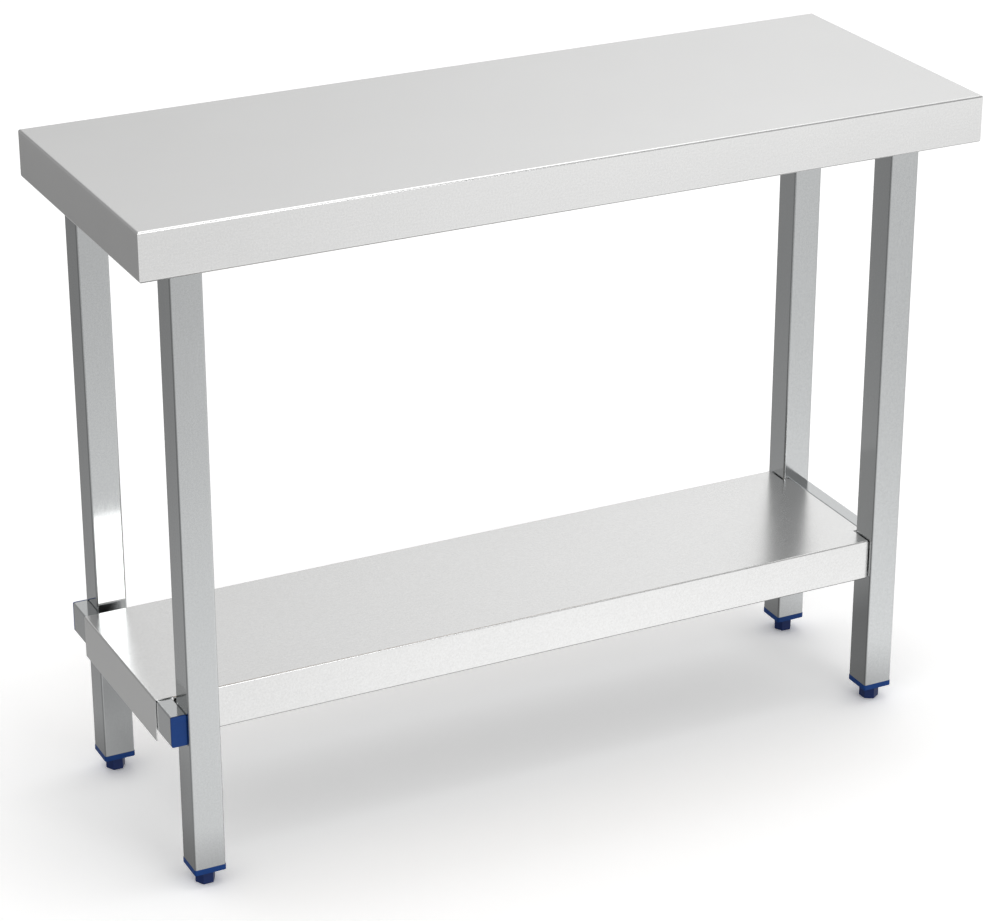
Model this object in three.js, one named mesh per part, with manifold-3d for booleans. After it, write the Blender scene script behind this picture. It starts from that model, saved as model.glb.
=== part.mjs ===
// Folding stainless work table with a drop-in lower shelf.
// Millimetres. +X runs along the table, +Y towards its back, +Z up.
// The origin is on the floor, under the centre of the worktop.

import * as THREE from "three";
import { mergeVertices } from "three/addons/utils/BufferGeometryUtils.js";
import Module from "manifold-3d";

const wasm = await Module();
wasm.setup();

// Driving dimensions

const SHEET = 1.2; // stainless sheet of the worktop and the shelf
const GAP = 0.3; // between parts that meet without being welded
const ROUND = 24; // sides of a round rod or hole
const BEND_STEPS = 4; // facets of a right-angled bend

const TOP_LENGTH = 1100;
const TOP_DEPTH = 400;
const TOP_HEIGHT = 857; // floor to work surface
const APRON_HEIGHT = 60;
const APRON_LIP = 15; // width of the inward fold under the apron
const TOP_BEND = 3; // outside radius of the worktop's bends
const BOARD_THICKNESS = 16;
const BOARD_EDGE_GAP = 2;

const LEG_SIZE = 40;
const LEG_WALL = 1.5;
const LEG_CORNER = 2.5;
const LEG_INSET = 43; // end of the worktop to the outer face of a leg
const FRAME_INSET = 24; // front of the worktop to the front of the left, wide pair of legs
const NEST_GAP = 4; // between the pairs when the right, narrow pair folds inside the left one

const LEG_ABOVE_PIVOT = 12;
const FOLD_CLEARANCE = 1.2; // under the bracket, for the leg's upper corners as it folds
const BRACKET_SHEET = 3;
const BRACKET_SIDE_GAP = 0.6; // leg to bracket ear
const EAR_RADIUS = 13;
const EAR_OVERHANG = 2; // ear's upper corner past the leg's outer face
const STOP_GAP = 0.4; // leg's inner face to the bracket's stop web
const STOP_RISE = 3; // lower edge of the stop web above the pivot
const SCREW_TAB = 24; // part of the bracket's base beyond the stop web
const SCREW_SPREAD = 24; // between the two screws of a bracket
const SCREW_RADIUS = 2.1;
const SCREW_LENGTH = 13;
const SCREW_HEAD_RADIUS = 4.2;
const SCREW_HEAD_HEIGHT = 2.4;

const BOLT_RADIUS = 4;
const BOLT_END = 4; // bolt showing past the nut
const BOLT_HEAD_FLATS = 13;
const BOLT_HEAD_BEVEL = 0.3;
const BOLT_HEAD_HEIGHT = 5.3;
const NUT_HEX_HEIGHT = 6.5;
const NUT_COLLAR_HEIGHT = 1.5;
const NUT_COLLAR_RADIUS = 5.6;

const FOOT_PLATE_OVERHANG = 0.5; // plate past each face of the leg
const FOOT_PLATE_THICKNESS = 7.5;
const FOOT_PLATE_CORNER = 3;
const FOOT_PLATE_BEVEL = 0.8;
const FOOT_PLUG_LENGTH = 24;
const HEX_FLATS = 22;
const HEX_HEIGHT = 19.5;
const HEX_BEVEL = 1;
const HEX_TO_PLATE = 0.5;
const STEM_RADIUS = 5;
const STEM_LENGTH = 70;
const STEM_SEAT_DEPTH = 14; // depth of the hole in the hex foot that holds the stem
const HEX_TURNS = { left_front: 0, left_back: -2, right_front: 31, right_back: -4 }; // degrees

const SHELF_HEIGHT = 239.5; // floor to the shelf's upper surface
const SHELF_SIDE_GAP = 11; // shelf to the left legs
const SHELF_SKIRT = 55;
const SHELF_BEND = 2.2; // outside radius of the shelf's bends
const SHELF_LIP = 12; // inward fold under the front and back skirts
const HOOK_GAP = 0.5; // rail's outer face to the hooked flange
const SKIRT_GAP = 1.2; // rail's inner face to the skirts
const SHELF_END_GAP = 1.2; // shelf's right end to the right legs
const END_FLANGE_DEPTH = 48;
const TONGUE_SIDE_GAP = 1.5; // tongue to the right legs
const TONGUE_END_GAP = 0.7; // tongue to the right rail
const TONGUE_FLANGE_DEPTH = 25;
const STRIP_REACH = 40; // how far the hook, tongue and end flanges run into the shelf's own top

const STIFFENER_DEPTH = 20;
const STIFFENER_WIDTH = 60;
const STIFFENER_FLANGE = 20;
const STIFFENER_SETBACK = 50; // from either end of the shelf's tray

const RAIL_WIDTH = 20;
const RAIL_HEIGHT = 40;
const RAIL_WALL = 1.5;
const RAIL_CORNER = 2;
const LEFT_RAIL_SETBACK = 8; // end of the left rail's tube inside the legs' outer faces
const CAP_THICKNESS = 3;
const CAP_BEVEL = 0.8;
const CAP_PLUG_LENGTH = 14;

const LEDGE_SETBACK = 17; // from either right leg
const LEDGE_WIDTH = 15;
const LEDGE_SHEET = 2;

// Sizes that follow

const plateBottom = HEX_HEIGHT + HEX_TO_PLATE;
const legBottom = plateBottom + FOOT_PLATE_THICKNESS;
const boardTop = TOP_HEIGHT - SHEET;
const boardBottom = boardTop - BOARD_THICKNESS;
const legCornerReach = Math.hypot(LEG_SIZE / 2, LEG_ABOVE_PIVOT);
const pivotDrop = BRACKET_SHEET + FOLD_CLEARANCE + legCornerReach;
const pivotHeight = boardBottom - pivotDrop;
const legTop = pivotHeight + LEG_ABOVE_PIVOT;
const legX = TOP_LENGTH / 2 - LEG_INSET - LEG_SIZE / 2;
const legInnerX = legX - LEG_SIZE / 2;
const legOuterX = legX + LEG_SIZE / 2;
const wideFrame = TOP_DEPTH - 2 * FRAME_INSET;
const narrowFrame = wideFrame - 2 * (LEG_SIZE + NEST_GAP);
const wideY = (wideFrame - LEG_SIZE) / 2;
const narrowY = (narrowFrame - LEG_SIZE) / 2;
const railTop = SHELF_HEIGHT - SHEET - GAP;
const railMiddle = railTop - RAIL_HEIGHT / 2;
const leftRailX = -(legOuterX + RAIL_WIDTH / 2);
const leftRailLength = wideFrame - 2 * LEFT_RAIL_SETBACK;
const rightRailLength = narrowFrame - 2 * LEG_SIZE;
const rightRailFace = legX - RAIL_WIDTH / 2;
const shelfWidth = wideFrame - 2 * (LEG_SIZE + SHELF_SIDE_GAP);
const trayLeft = -legOuterX + SKIRT_GAP;
const shelfRight = legInnerX - SHELF_END_GAP;
const trayRight = shelfRight - SHELF_BEND;
const earOffset = LEG_SIZE / 2 + BRACKET_SIDE_GAP;
const stopX = LEG_SIZE / 2 + STOP_GAP;
const screwX = stopX + BRACKET_SHEET + SCREW_TAB / 2;
const bracketWidth = 2 * (earOffset + BRACKET_SHEET);
const boltLength = bracketWidth + 2 * GAP + NUT_HEX_HEIGHT + NUT_COLLAR_HEIGHT + BOLT_END;
const boltHole = BOLT_RADIUS + GAP;
const stemHole = STEM_RADIUS + GAP;

// The four legs: which side of the table each stands on, and where
const CORNERS = [
  { name: "left_front", side: -1, x: -legX, y: -wideY },
  { name: "left_back", side: -1, x: -legX, y: wideY },
  { name: "right_front", side: 1, x: legX, y: -narrowY },
  { name: "right_back", side: 1, x: legX, y: narrowY },
];

// Materials

const stainless = new THREE.MeshStandardMaterial({ color: 0xc9cccc, roughness: 0.24, metalness: 1 });
const tubeSteel = new THREE.MeshStandardMaterial({ color: 0xb9bcbd, roughness: 0.3, metalness: 1 });
const zincSteel = new THREE.MeshStandardMaterial({ color: 0x9ea3a6, roughness: 0.4, metalness: 1 });
const bluePlastic = new THREE.MeshStandardMaterial({ color: 0x22427e, roughness: 0.5, metalness: 0 });
const boardWood = new THREE.MeshStandardMaterial({ color: 0xb18f62, roughness: 0.85, metalness: 0 });

// Solids

function solidOf(geometry) {
  const bare = geometry.clone();
  bare.deleteAttribute("normal");
  bare.deleteAttribute("uv");
  const merged = mergeVertices(bare, 1e-4);
  return new wasm.Manifold(
    new wasm.Mesh({
      numProp: 3,
      vertProperties: new Float32Array(merged.attributes.position.array),
      triVerts: new Uint32Array(merged.index.array),
    }),
  );
}

function geometryOf(solid) {
  const { vertProperties, triVerts } = solid.getMesh();
  const geometry = new THREE.BufferGeometry();
  geometry.setAttribute("position", new THREE.BufferAttribute(vertProperties, 3));
  geometry.setIndex(new THREE.BufferAttribute(triVerts, 1));
  geometry.computeVertexNormals();
  return geometry;
}

function join(first, ...others) {
  return geometryOf(others.reduce((sum, next) => sum.add(solidOf(next)), solidOf(first)));
}

function cut(first, ...others) {
  return geometryOf(others.reduce((rest, next) => rest.subtract(solidOf(next)), solidOf(first)));
}

// A box between two corners.
function block([x0, y0, z0], [x1, y1, z1]) {
  return new THREE.BoxGeometry(x1 - x0, y1 - y0, z1 - z0)
    .translate((x0 + x1) / 2, (y0 + y1) / 2, (z0 + z1) / 2);
}

function roundedRectangle(width, height, radius, Kind = THREE.Shape) {
  const x = width / 2 - radius;
  const y = height / 2 - radius;
  return new Kind()
    .absarc(x, y, radius, 0, Math.PI / 2, false)
    .absarc(-x, y, radius, Math.PI / 2, Math.PI, false)
    .absarc(-x, -y, radius, Math.PI, 1.5 * Math.PI, false)
    .absarc(x, -y, radius, 1.5 * Math.PI, 2 * Math.PI, false);
}

function rectangle(width, height) {
  return new THREE.Shape([
    new THREE.Vector2(-width / 2, -height / 2),
    new THREE.Vector2(width / 2, -height / 2),
    new THREE.Vector2(width / 2, height / 2),
    new THREE.Vector2(-width / 2, height / 2),
  ]);
}

function hexagon(flats) {
  const radius = flats / Math.sqrt(3);
  const corners = Array.from({ length: 6 }, (_, i) => (i * Math.PI) / 3);
  return new THREE.Shape(corners.map((a) => new THREE.Vector2(radius * Math.cos(a), radius * Math.sin(a))));
}

// A flat shape raised from z = 0 to the given height.
function raise(shape, height, curveSegments = 4) {
  return new THREE.ExtrudeGeometry(shape, { depth: height, bevelEnabled: false, curveSegments });
}

// The same with rounded upper and lower edges. The bevel makes the shape larger all round.
function raiseRounded(shape, height, bevel, bevelSegments = 3, curveSegments = 4) {
  return new THREE.ExtrudeGeometry(shape, {
    depth: height - 2 * bevel,
    bevelThickness: bevel,
    bevelSize: bevel,
    bevelSegments,
    curveSegments,
  }).translate(0, 0, bevel);
}

function rod(radius, length, sides = ROUND) {
  return new THREE.CylinderGeometry(radius, radius, length, sides)
    .rotateX(Math.PI / 2)
    .translate(0, 0, length / 2);
}

// Turns a raised shape so that its own x, y and height run along Y, Z and X.
function alongX(geometry) {
  const basis = new THREE.Matrix4().makeBasis(
    new THREE.Vector3(0, 1, 0),
    new THREE.Vector3(0, 0, 1),
    new THREE.Vector3(1, 0, 0),
  );
  return geometry.applyMatrix4(basis);
}

// Turns a raised shape so that its own x and y run along X and Z, and centres its height on y = 0.
function acrossY(geometry, length) {
  return geometry.rotateX(Math.PI / 2).translate(0, length / 2, 0);
}

// The points of one face of a sheet bent at right angles. The face lies at offset on the left of the path,
// and each corner is rounded to the radius that its turn asks for.
function bentFace(path, offset, bend) {
  const leftOf = (d) => new THREE.Vector2(-d.y, d.x);
  return path.flatMap((corner, i) => {
    const before = path[i - 1];
    const after = path[i + 1];
    const into = corner.clone().sub(before ?? corner).normalize();
    const out = (after ?? corner).clone().sub(corner).normalize();
    const point = corner.clone().addScaledVector(leftOf(into), offset).addScaledVector(leftOf(out), offset);
    if (!before || !after) return [point];
    const turn = Math.sign(into.cross(out));
    const radius = turn > 0 ? bend - offset : bend - SHEET + offset;
    const spoke = leftOf(into).multiplyScalar(-turn * radius);
    const centre = point.addScaledVector(into, -radius).sub(spoke);
    const arc = Array.from({ length: BEND_STEPS + 1 }, (_, k) => (turn * Math.PI * k) / (2 * BEND_STEPS));
    return arc.map((angle) => spoke.clone().rotateAround(new THREE.Vector2(), angle).add(centre));
  });
}

// The section of a sheet that follows a path of right-angled bends, with its thickness on the path's left.
function bentSheet(corners, bend) {
  const path = corners.map(([x, y]) => new THREE.Vector2(x, y));
  const near = bentFace(path, 0, bend);
  const far = bentFace(path, SHEET, bend);
  return new THREE.Shape([...near, ...far.reverse()]);
}

function tube(width, height, corner, wall, length) {
  const section = roundedRectangle(width, height, corner);
  section.holes.push(roundedRectangle(width - 2 * wall, height - 2 * wall, corner - wall, THREE.Path));
  return raise(section, length);
}

// A solid with sharp upright edges and rounded upper and lower ones, standing on z = 0.
function foldedBlock(length, depth, height, radius) {
  return raiseRounded(rectangle(length - 2 * radius, depth - 2 * radius), height, radius, 4);
}

function mesh(name, geometry, material, x = 0, y = 0, z = 0) {
  const made = new THREE.Mesh(geometry, material);
  made.name = name;
  made.position.set(x, y, z);
  return made;
}

// Worktop

// One sheet folded down on all four sides and in again below.
function worktopSkin() {
  const outer = foldedBlock(TOP_LENGTH, TOP_DEPTH, APRON_HEIGHT, TOP_BEND);
  const inner = foldedBlock(
    TOP_LENGTH - 2 * SHEET,
    TOP_DEPTH - 2 * SHEET,
    APRON_HEIGHT - 2 * SHEET,
    TOP_BEND - SHEET,
  ).translate(0, 0, SHEET);
  const mouthX = TOP_LENGTH / 2 - APRON_LIP;
  const mouthY = TOP_DEPTH / 2 - APRON_LIP;
  const mouth = block([-mouthX, -mouthY, -SHEET], [mouthX, mouthY, 2 * SHEET]);
  return cut(outer, inner, mouth);
}

function screwPlaces() {
  return CORNERS.flatMap(({ name, side, x, y }) =>
    [-1, 1].map((row) => ({
      name: `${name}_screw_${row < 0 ? "a" : "b"}`,
      x: x - side * screwX,
      y: y + (row * SCREW_SPREAD) / 2,
    })),
  );
}

function worktopBoard() {
  const length = TOP_LENGTH - 2 * (SHEET + BOARD_EDGE_GAP);
  const depth = TOP_DEPTH - 2 * (SHEET + BOARD_EDGE_GAP);
  const slab = raise(rectangle(length, depth), BOARD_THICKNESS);
  const holeDepth = SCREW_LENGTH - BRACKET_SHEET + GAP;
  const holes = screwPlaces().map(({ x, y }) =>
    rod(SCREW_RADIUS + GAP, holeDepth + GAP, ROUND / 2).translate(x, y, -GAP),
  );
  return cut(slab, ...holes);
}

// Leg hinges

// Origin on the pivot, +X towards the middle of the table.
function hingeBracket() {
  const halfWidth = bracketWidth / 2;
  const outerX = -LEG_SIZE / 2 - EAR_OVERHANG;
  const webOuter = stopX + BRACKET_SHEET;
  const baseBottom = pivotDrop - BRACKET_SHEET;
  const eyeTop = pivotDrop - BRACKET_SHEET / 2;
  const base = block([outerX, -halfWidth, baseBottom], [webOuter + SCREW_TAB, halfWidth, pivotDrop]);
  const web = block([stopX, -halfWidth, STOP_RISE], [webOuter, halfWidth, eyeTop]);
  const outline = new THREE.Shape()
    .moveTo(outerX, eyeTop)
    .lineTo(-EAR_RADIUS, 0)
    .absarc(0, 0, EAR_RADIUS, Math.PI, 2 * Math.PI, false)
    .lineTo(webOuter, STOP_RISE)
    .lineTo(webOuter, eyeTop);
  outline.holes.push(new THREE.Path().absarc(0, 0, boltHole, 0, 2 * Math.PI, false));
  const ears = [-1, 1].map((side) =>
    acrossY(raise(outline, BRACKET_SHEET, ROUND / 2), BRACKET_SHEET)
      .translate(0, side * (earOffset + BRACKET_SHEET / 2), 0),
  );
  const screwHoles = [-1, 1].map((row) =>
    rod(SCREW_RADIUS + GAP, 2 * BRACKET_SHEET, ROUND / 2)
      .translate(screwX, (row * SCREW_SPREAD) / 2, baseBottom - BRACKET_SHEET / 2),
  );
  return cut(join(base, web, ...ears), ...screwHoles);
}

// Screw with a low domed head, head down: the head's flat side is at z = 0.
function panScrew() {
  const profile = [
    [0, -SCREW_HEAD_HEIGHT],
    [SCREW_HEAD_RADIUS * 0.55, -SCREW_HEAD_HEIGHT],
    [SCREW_HEAD_RADIUS * 0.9, -SCREW_HEAD_HEIGHT * 0.6],
    [SCREW_HEAD_RADIUS, -SCREW_HEAD_HEIGHT * 0.15],
    [SCREW_HEAD_RADIUS, 0],
    [SCREW_RADIUS, 0],
    [SCREW_RADIUS, SCREW_LENGTH - 2 * SCREW_RADIUS],
    [0, SCREW_LENGTH],
  ].map(([r, z]) => new THREE.Vector2(r, z));
  return new THREE.LatheGeometry(profile, ROUND / 2).rotateX(Math.PI / 2);
}

// Hexagon-head bolt along +Y. The underside of its head is at y = 0 and its shank runs to -y.
function pivotBolt() {
  const flats = BOLT_HEAD_FLATS - 2 * BOLT_HEAD_BEVEL;
  const head = raiseRounded(hexagon(flats), BOLT_HEAD_HEIGHT, BOLT_HEAD_BEVEL, 1);
  const shank = rod(BOLT_RADIUS, boltLength + BOLT_HEAD_HEIGHT / 2).translate(0, 0, -boltLength);
  return join(head, shank).rotateX(-Math.PI / 2);
}

// Lock nut along +Y, its flat face at y = 0 and its collar towards -y.
function lockNut() {
  const hex = raise(hexagon(BOLT_HEAD_FLATS), NUT_HEX_HEIGHT);
  const collar = rod(NUT_COLLAR_RADIUS, NUT_HEX_HEIGHT + NUT_COLLAR_HEIGHT);
  const bore = rod(boltHole, 4 * NUT_HEX_HEIGHT).translate(0, 0, -NUT_HEX_HEIGHT);
  return cut(join(hex, collar), bore).rotateX(Math.PI / 2);
}

// Bracket, bolt and nut of one leg, in a group turned so that its bolt head faces the nearer apron.
function legHinge({ name, side, x, y }) {
  const hinge = new THREE.Group();
  hinge.position.set(x, y, pivotHeight);
  const bracket = mesh(`${name}_hinge_bracket`, hingeBracket(), zincSteel);
  bracket.rotation.z = side > 0 ? Math.PI : 0;
  const fastening = new THREE.Group();
  fastening.rotation.z = y > 0 ? 0 : Math.PI;
  const outside = bracketWidth / 2 + GAP;
  fastening.add(mesh(`${name}_pivot_bolt`, pivotBolt(), zincSteel, 0, outside, 0));
  fastening.add(mesh(`${name}_lock_nut`, lockNut(), zincSteel, 0, -outside, 0));
  hinge.add(bracket, fastening);
  return hinge;
}

// Legs and feet

function leg() {
  const length = legTop - legBottom;
  const hole = rod(boltHole, 2 * LEG_SIZE)
    .translate(0, 0, -LEG_SIZE)
    .rotateX(Math.PI / 2)
    .translate(0, 0, length - LEG_ABOVE_PIVOT);
  return cut(tube(LEG_SIZE, LEG_SIZE, LEG_CORNER, LEG_WALL, length), hole);
}

// Plug in the end of a leg, with its plate below. The leg's end is at z = 0.
function footPlug() {
  const plugSize = LEG_SIZE - 2 * (LEG_WALL + GAP);
  const section = roundedRectangle(plugSize, plugSize, LEG_CORNER - LEG_WALL);
  const plug = raise(section, FOOT_PLUG_LENGTH + FOOT_PLATE_BEVEL).translate(0, 0, -FOOT_PLATE_BEVEL);
  const plateSize = LEG_SIZE + 2 * (FOOT_PLATE_OVERHANG - FOOT_PLATE_BEVEL);
  const plate = raiseRounded(
    roundedRectangle(plateSize, plateSize, FOOT_PLATE_CORNER - FOOT_PLATE_BEVEL),
    FOOT_PLATE_THICKNESS,
    FOOT_PLATE_BEVEL,
    2,
  ).translate(0, 0, -FOOT_PLATE_THICKNESS);
  const reach = FOOT_PLATE_THICKNESS + FOOT_PLUG_LENGTH;
  const bore = rod(stemHole, 2 * reach).translate(0, 0, -reach);
  return cut(join(plug, plate), bore);
}

// Six-sided foot with a blind hole in its upper end for the stem.
function hexFoot() {
  const body = raiseRounded(hexagon(HEX_FLATS - 2 * HEX_BEVEL), HEX_HEIGHT, HEX_BEVEL, 2);
  const seat = rod(stemHole, 2 * STEM_SEAT_DEPTH).translate(0, 0, HEX_HEIGHT - STEM_SEAT_DEPTH);
  return cut(body, seat);
}

function standingLeg(corner) {
  const { name, x, y } = corner;
  const group = new THREE.Group();
  group.position.set(x, y, 0);
  const foot = mesh(`${name}_hex_foot`, hexFoot(), bluePlastic);
  foot.rotation.z = THREE.MathUtils.degToRad(HEX_TURNS[name]);
  const stemBottom = HEX_HEIGHT - STEM_SEAT_DEPTH + GAP;
  group.add(
    mesh(`${name}_leg`, leg(), tubeSteel, 0, 0, legBottom),
    mesh(`${name}_foot_plug`, footPlug(), bluePlastic, 0, 0, legBottom),
    mesh(`${name}_stem`, rod(STEM_RADIUS, STEM_LENGTH), zincSteel, 0, 0, stemBottom),
    foot,
  );
  return group;
}

// Rails

function railTube(length) {
  return acrossY(tube(RAIL_WIDTH, RAIL_HEIGHT, RAIL_CORNER, RAIL_WALL, length), length);
}

// Cap with its face towards -Y. The end of the tube is at y = 0.
function railCap() {
  const face = raiseRounded(
    roundedRectangle(RAIL_WIDTH - 2 * CAP_BEVEL, RAIL_HEIGHT - 2 * CAP_BEVEL, RAIL_CORNER - CAP_BEVEL),
    CAP_THICKNESS,
    CAP_BEVEL,
    2,
  );
  const inset = 2 * (RAIL_WALL + GAP);
  const plug = raise(
    roundedRectangle(RAIL_WIDTH - inset, RAIL_HEIGHT - inset, RAIL_CORNER - RAIL_WALL),
    CAP_PLUG_LENGTH + CAP_BEVEL,
  ).translate(0, 0, -CAP_PLUG_LENGTH);
  return join(face, plug).rotateX(Math.PI / 2);
}

function leftRail() {
  const rail = new THREE.Group();
  rail.position.set(leftRailX, 0, railMiddle);
  const backCap = mesh("rail_cap_back", railCap(), bluePlastic, 0, leftRailLength / 2, 0);
  backCap.rotation.z = Math.PI;
  rail.add(
    mesh("left_rail", railTube(leftRailLength), tubeSteel),
    mesh("rail_cap_front", railCap(), bluePlastic, 0, -leftRailLength / 2, 0),
    backCap,
  );
  return rail;
}

function rightRail() {
  return mesh("right_rail", railTube(rightRailLength), tubeSteel, legX, 0, railMiddle);
}

// Angle on the right rail that the shelf's tongue stands on.
function shelfLedge() {
  const section = new THREE.Shape([
    new THREE.Vector2(0, 0),
    new THREE.Vector2(-LEDGE_WIDTH, 0),
    new THREE.Vector2(-LEDGE_WIDTH, -LEDGE_SHEET),
    new THREE.Vector2(-LEDGE_SHEET, -LEDGE_SHEET),
    new THREE.Vector2(-LEDGE_SHEET, -LEDGE_WIDTH),
    new THREE.Vector2(0, -LEDGE_WIDTH),
  ]);
  const length = rightRailLength - 2 * LEDGE_SETBACK;
  const top = SHELF_HEIGHT - TONGUE_FLANGE_DEPTH - GAP;
  return mesh("shelf_ledge", acrossY(raise(section, length), length), tubeSteel, rightRailFace, 0, top);
}

// Shelf

// The tray between the rails: a flat top, skirts at front and back, and a lip folded in under each.
function shelfTray() {
  const y = shelfWidth / 2;
  const section = bentSheet(
    [
      [-y + SHELF_LIP, SHEET - SHELF_SKIRT],
      [-y + SHEET, SHEET - SHELF_SKIRT],
      [-y + SHEET, -SHEET],
      [y - SHEET, -SHEET],
      [y - SHEET, SHEET - SHELF_SKIRT],
      [y - SHELF_LIP, SHEET - SHELF_SKIRT],
    ],
    SHELF_BEND,
  );
  return alongX(raise(section, trayRight - trayLeft)).translate(trayLeft, 0, 0);
}

// A strip of the shelf's top that ends in a flange folded down. The flange faces the end at outer.
function flangedStrip(inner, outer, depth, y0, y1) {
  const way = Math.sign(outer - inner);
  const corners = [[inner, -SHEET], [outer - way * SHEET, -SHEET], [outer - way * SHEET, -depth]];
  const section = bentSheet(way > 0 ? corners : corners.reverse(), SHELF_BEND);
  const width = y1 - y0;
  return acrossY(raise(section, width), width).translate(0, (y0 + y1) / 2, 0);
}

function shelf() {
  const half = shelfWidth / 2;
  const hookHalf = half - SHELF_BEND;
  const hookEnd = -(legOuterX + RAIL_WIDTH + HOOK_GAP + SHEET);
  const tongueHalf = rightRailLength / 2 - TONGUE_SIDE_GAP;
  const tongueEnd = rightRailFace - TONGUE_END_GAP;
  const stripLeft = trayRight - STRIP_REACH;
  const hook = flangedStrip(trayLeft + STRIP_REACH, hookEnd, SHELF_SKIRT, -hookHalf, hookHalf);
  const tongue = flangedStrip(stripLeft, tongueEnd, TONGUE_FLANGE_DEPTH, -tongueHalf, tongueHalf);
  const ends = [-1, 1].flatMap((side) => {
    const [y0, y1] = [side * (tongueHalf + SHEET), side * (half - SHEET)].sort((a, b) => a - b);
    const [s0, s1] = [side * (half - SHEET), side * half].sort((a, b) => a - b);
    return [
      flangedStrip(stripLeft, shelfRight, END_FLANGE_DEPTH, y0, y1),
      block([stripLeft, s0, SHELF_BEND - SHELF_SKIRT], [shelfRight, s1, -SHELF_BEND]),
    ];
  });
  return mesh("shelf", join(shelfTray(), hook, tongue, ...ends), stainless, 0, 0, SHELF_HEIGHT);
}

// Hat section under the shelf.
function shelfStiffener() {
  const y = STIFFENER_WIDTH / 2;
  const section = bentSheet(
    [
      [-y - STIFFENER_FLANGE, -SHEET],
      [-y, -SHEET],
      [-y, -STIFFENER_DEPTH],
      [y, -STIFFENER_DEPTH],
      [y, -SHEET],
      [y + STIFFENER_FLANGE, -SHEET],
    ],
    SHELF_BEND,
  );
  const length = trayRight - trayLeft - 2 * STIFFENER_SETBACK;
  const start = trayLeft + STIFFENER_SETBACK;
  return mesh("shelf_stiffener", alongX(raise(section, length)), stainless, start, 0, SHELF_HEIGHT - SHEET);
}

// The table

const table = new THREE.Group();
table.add(
  mesh("worktop_skin", worktopSkin(), stainless, 0, 0, TOP_HEIGHT - APRON_HEIGHT),
  mesh("worktop_board", worktopBoard(), boardWood, 0, 0, boardBottom),
  ...screwPlaces().map(({ name, x, y }) =>
    mesh(name, panScrew(), zincSteel, x, y, boardBottom - BRACKET_SHEET),
  ),
  ...CORNERS.map(legHinge),
  ...CORNERS.map(standingLeg),
  leftRail(),
  rightRail(),
  shelfLedge(),
  shelf(),
  shelfStiffener(),
);

export default table;
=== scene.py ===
"""Finishes and small details of a folding stainless work table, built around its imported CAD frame.

Metres, +X along the table, +Y towards its back, +Z up, origin on the floor under the middle of the worktop.
"""

import math

import bmesh
import bpy
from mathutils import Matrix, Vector


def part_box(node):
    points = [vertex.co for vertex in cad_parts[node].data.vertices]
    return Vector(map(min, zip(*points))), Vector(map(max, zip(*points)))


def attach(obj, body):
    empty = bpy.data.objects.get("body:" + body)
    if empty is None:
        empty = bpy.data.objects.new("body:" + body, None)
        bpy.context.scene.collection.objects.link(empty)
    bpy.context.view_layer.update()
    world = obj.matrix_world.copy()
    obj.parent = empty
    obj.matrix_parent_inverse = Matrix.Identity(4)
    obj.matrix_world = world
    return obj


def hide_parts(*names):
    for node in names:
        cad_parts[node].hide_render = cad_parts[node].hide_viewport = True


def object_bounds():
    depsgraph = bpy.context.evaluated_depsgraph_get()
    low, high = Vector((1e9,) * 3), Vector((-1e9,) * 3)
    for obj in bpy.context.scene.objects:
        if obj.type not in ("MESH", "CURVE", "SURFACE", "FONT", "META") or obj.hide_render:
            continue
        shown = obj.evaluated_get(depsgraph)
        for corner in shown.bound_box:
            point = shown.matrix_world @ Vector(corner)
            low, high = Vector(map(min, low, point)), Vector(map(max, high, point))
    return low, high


bl_info = {
    "name": "Folding work table",
    "version": (1, 0, 0),
    "blender": (4, 5, 0),
    "location": "3D View > Sidebar > Work table",
    "description": "Builds the finishes and the small details of a folding stainless work table",
    "category": "Object",
}

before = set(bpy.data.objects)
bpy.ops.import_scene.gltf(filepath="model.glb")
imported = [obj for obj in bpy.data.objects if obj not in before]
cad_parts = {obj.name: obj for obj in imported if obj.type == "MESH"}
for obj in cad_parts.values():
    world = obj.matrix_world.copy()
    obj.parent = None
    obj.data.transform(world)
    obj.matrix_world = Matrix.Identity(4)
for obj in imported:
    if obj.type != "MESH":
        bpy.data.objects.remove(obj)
cad_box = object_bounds()

CORNERS = ("left_front", "left_back", "right_front", "right_back")
MM = 0.001

MERGE_DISTANCE = 0.01 * MM
ROUND_BEND = math.radians(35)
MITRE = math.radians(60)
LEVEL_TILT = 0.1
BEAD_BEND = math.radians(60)
THREAD_BEND = math.radians(50)

TUBE_BEND_POINTS = 8
THREAD_SIDES = 24
ROWS_IN_A_TURN = 6

# A pan head's profile, as shares of its height, down from the top, and of its radius
PAN_HEAD = [(0.0, 0.55), (0.4, 0.9), (0.85, 1.0)]

# The round face of a hexagon as a share of its flats, and its bevel as a share of its height
BOLT_FACE, BOLT_BEVEL = 0.46, 0.16
NUT_FACE, NUT_BEVEL = 0.47, 0.12

# The cross recess, in widths of its slots
RECESS_ACROSS = 5.0
RECESS_HEIGHT = 3.0

# A weld bead's points to a ripple, how deep its ripple and how blunt its ends are, as shares of its radius,
# and the share of its length over which an end tapers
BEAD_POINTS = 5
BEAD_RIPPLE = 0.25
BEAD_END = 0.1
BEAD_TAPER = 1 / 14

# A grinding mark's length, in widths
MARK_LENGTH = 30

FLOOR_RADIUS = 40.0
FLOOR_DROP = 0.2 * MM
# How far either side of the table's edge the painted shadow under it, which only the steel sees on the floor,
# fades
FLOOR_PAINTED_SHADOW_FADE = 0.1

# A painted shadow round a foot: how much darker steel sees the floor there, and how far from it that begins
# and is full
FOOT_PAINTED_SHADOW = 0.22
FOOT_PAINTED_SHADOW_RADIUS = (0.16, 0.03)

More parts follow.
